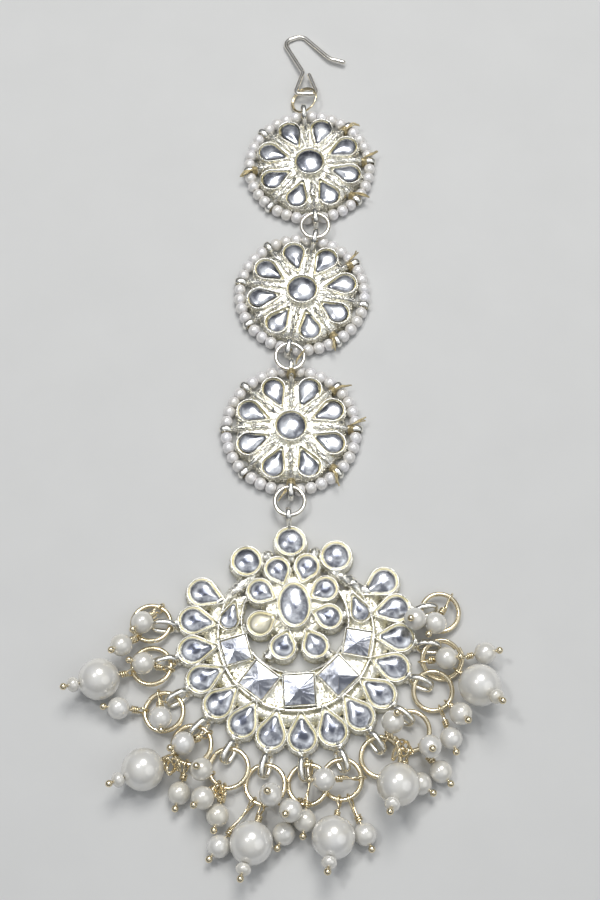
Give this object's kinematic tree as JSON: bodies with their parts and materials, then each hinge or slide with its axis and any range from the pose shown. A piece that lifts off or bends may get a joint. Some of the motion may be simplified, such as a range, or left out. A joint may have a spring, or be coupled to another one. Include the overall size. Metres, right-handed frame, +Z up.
{
  "type": "maang tikka",
  "caption": "Forehead ornament: a wire hair hook, round jewelled rosettes ringed with seed pearls, and a crescent pendant with a fringe of pearl drops.",
  "frame": {"origin": "on the surface it lies on, below the middle of the whole outline", "axes": "+Z up out of the face of the jewel, +Y from the pendant towards the hair hook, +X to the right as seen from above"},
  "size_m": [0.084, 0.1904, 0.0114],
  "materials": {
    "gilt_casting": "pale gilt casting, polished rims, duller granulated ground",
    "gilt_wire": "bright gilt wire",
    "hook_wire": "bright pale gilt wire",
    "foiled_stone": "clear stone on silver foil",
    "pearl": "pearl lustre",
    "seed_pearl": "satin white seed pearl"
  },
  "bodies": {
    "root": {"drop_ring_01": "gilt_wire", "drop_ring_02": "gilt_wire", "drop_ring_03": "gilt_wire", "drop_ring_04": "gilt_wire", "drop_ring_05": "gilt_wire", "drop_ring_06": "gilt_wire", "drop_ring_07": "gilt_wire", "drop_ring_08": "gilt_wire", "drop_ring_09": "gilt_wire", "drop_ring_10": "gilt_wire", "drop_ring_11": "gilt_wire", "drop_ring_12": "gilt_wire", "drop_ring_13": "gilt_wire", "hook": "hook_wire", "hook_ring": "gilt_wire", "large_drop_pins": "gilt_wire", "large_pearl_1": "pearl", "large_pearl_2": "pearl", "large_pearl_3": "pearl", "large_pearl_4": "pearl", "large_pearl_5": "pearl", "large_pearl_6": "pearl", "large_tip_beads": "pearl", "link_ring_1": "gilt_wire", "link_ring_2": "gilt_wire", "link_ring_3": "gilt_wire", "pendant_centre_stone": "foiled_stone", "pendant_crescent_stones": "foiled_stone", "pendant_frame": "gilt_casting", "pendant_fringe_stones": "foiled_stone", "pendant_petal_stones": "foiled_stone", "pendant_top_stones": "foiled_stone", "rosette_1_centre_stone": "foiled_stone", "rosette_1_frame": "gilt_casting", "rosette_1_petal_stones": "foiled_stone", "rosette_1_seed_pearls": "seed_pearl", "rosette_2_centre_stone": "foiled_stone", "rosette_2_frame": "gilt_casting", "rosette_2_petal_stones": "foiled_stone", "rosette_2_seed_pearls": "seed_pearl", "rosette_3_centre_stone": "foiled_stone", "rosette_3_frame": "gilt_casting", "rosette_3_petal_stones": "foiled_stone", "rosette_3_seed_pearls": "seed_pearl", "small_drop_pins": "gilt_wire", "small_pearls_01": "pearl", "small_pearls_02": "pearl", "small_pearls_03": "pearl", "small_pearls_04": "pearl", "small_pearls_05": "pearl", "small_pearls_06": "pearl", "small_pearls_07": "pearl", "small_pearls_08": "pearl", "small_pearls_09": "pearl", "small_pearls_10": "pearl", "small_pearls_11": "pearl", "small_pearls_12": "pearl", "small_pearls_13": "pearl"}
  },
  "joints": []
}
